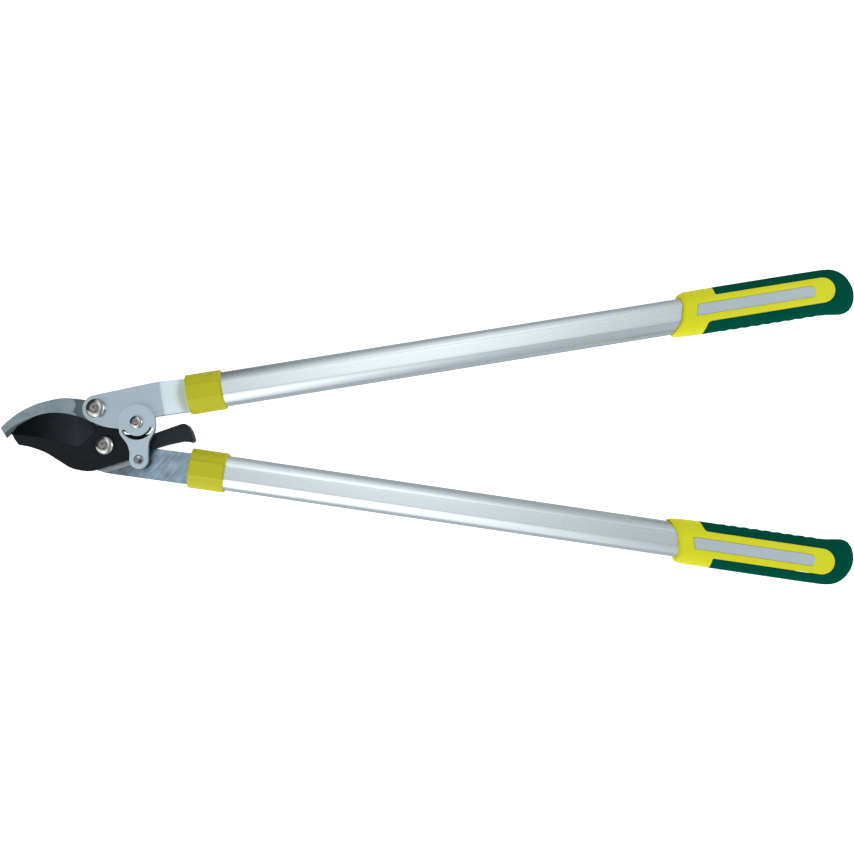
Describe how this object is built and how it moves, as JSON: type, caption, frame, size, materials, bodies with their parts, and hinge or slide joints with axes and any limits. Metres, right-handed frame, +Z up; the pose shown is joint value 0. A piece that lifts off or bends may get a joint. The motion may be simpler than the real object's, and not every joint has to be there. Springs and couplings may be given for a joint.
{
  "type": "bypass loppers",
  "caption": "Long-handled bypass loppers: hook jaw fixed to the lower arm, coated blade driven through a link by the upper handle, oval tube handles with two-part grips.",
  "frame": {"origin": "centre of the outline in plan, on the surface that the loppers lie on", "axes": "+X from the jaw to the grips, +Y from the lower handle to the upper handle, +Z up, away from the surface they lie on"},
  "size_m": [0.762, 0.2833, 0.0331],
  "materials": {
    "hook_steel": "ground and brushed",
    "arm_steel": "satin plated",
    "blade_coating": "black low-friction coating, satin",
    "bolt_chrome": "polished",
    "fastener_zinc": "zinc plated",
    "tube_aluminium": "satin anodised",
    "collar_plastic": "moulded, satin",
    "grip_plastic": "moulded, satin",
    "grip_rubber": "soft-touch, matte",
    "inlay_plastic": "smooth, light gloss",
    "plug_plastic": "moulded"
  },
  "bodies": {
    "lower_handle": {"hook_and_lower_arm": "hook_steel", "handle_pivot_bolt": "bolt_chrome", "handle_pivot_spacer": "fastener_zinc", "handle_pivot_washer": "fastener_zinc", "handle_pivot_nut": "fastener_zinc", "blade_pivot_bolt": "bolt_chrome", "blade_pivot_washer": "fastener_zinc", "blade_pivot_nut": "fastener_zinc", "lower_tube": "tube_aluminium", "lower_tube_plug": "plug_plastic", "lower_tang_rivet_front": "fastener_zinc", "lower_tang_rivet_rear": "fastener_zinc", "lower_collar": "collar_plastic", "lower_grip_core": "grip_plastic", "lower_grip_cover": "grip_rubber", "lower_grip_inlay_top": "inlay_plastic", "lower_grip_inlay_bottom": "inlay_plastic"},
    "upper_handle": {"upper_arm_plate": "arm_steel", "link_bolt": "bolt_chrome", "upper_tube": "tube_aluminium", "upper_tube_plug": "plug_plastic", "upper_tang_rivet_front": "fastener_zinc", "upper_tang_rivet_rear": "fastener_zinc", "upper_collar": "collar_plastic", "upper_grip_core": "grip_plastic", "upper_grip_cover": "grip_rubber", "upper_grip_inlay_top": "inlay_plastic", "upper_grip_inlay_bottom": "inlay_plastic"},
    "blade": {"cutting_blade": "blade_coating"},
    "link": {"link_plate": "arm_steel", "link_rivet": "fastener_zinc", "link_rivet_spacer": "fastener_zinc"}
  },
  "joints": [
    {"name": "handle_pivot", "type": "hinge", "parent": "lower_handle", "child": "upper_handle", "pos_m": [-0.29407, 0.01305, 0.0135], "axis": [0, 0, 1], "range_deg": [-4.2, 38]},
    {"name": "blade_pivot", "type": "hinge", "parent": "lower_handle", "child": "blade", "pos_m": [-0.28767, -0.01895, 0.0135], "axis": [0, 0, 1], "range_deg": [-4.8, 42.7]},
    {"name": "link_pivot", "type": "hinge", "parent": "upper_handle", "child": "link", "pos_m": [-0.25757, 0.00065, 0.0279], "axis": [0, 0, 1], "range_deg": [-37.2, 4.2]}
  ],
  "couplings": [
    {"joint": "blade_pivot", "follows": "handle_pivot", "ratio": 1.1215},
    {"joint": "link_pivot", "follows": "handle_pivot", "ratio": -0.9735}
  ]
}
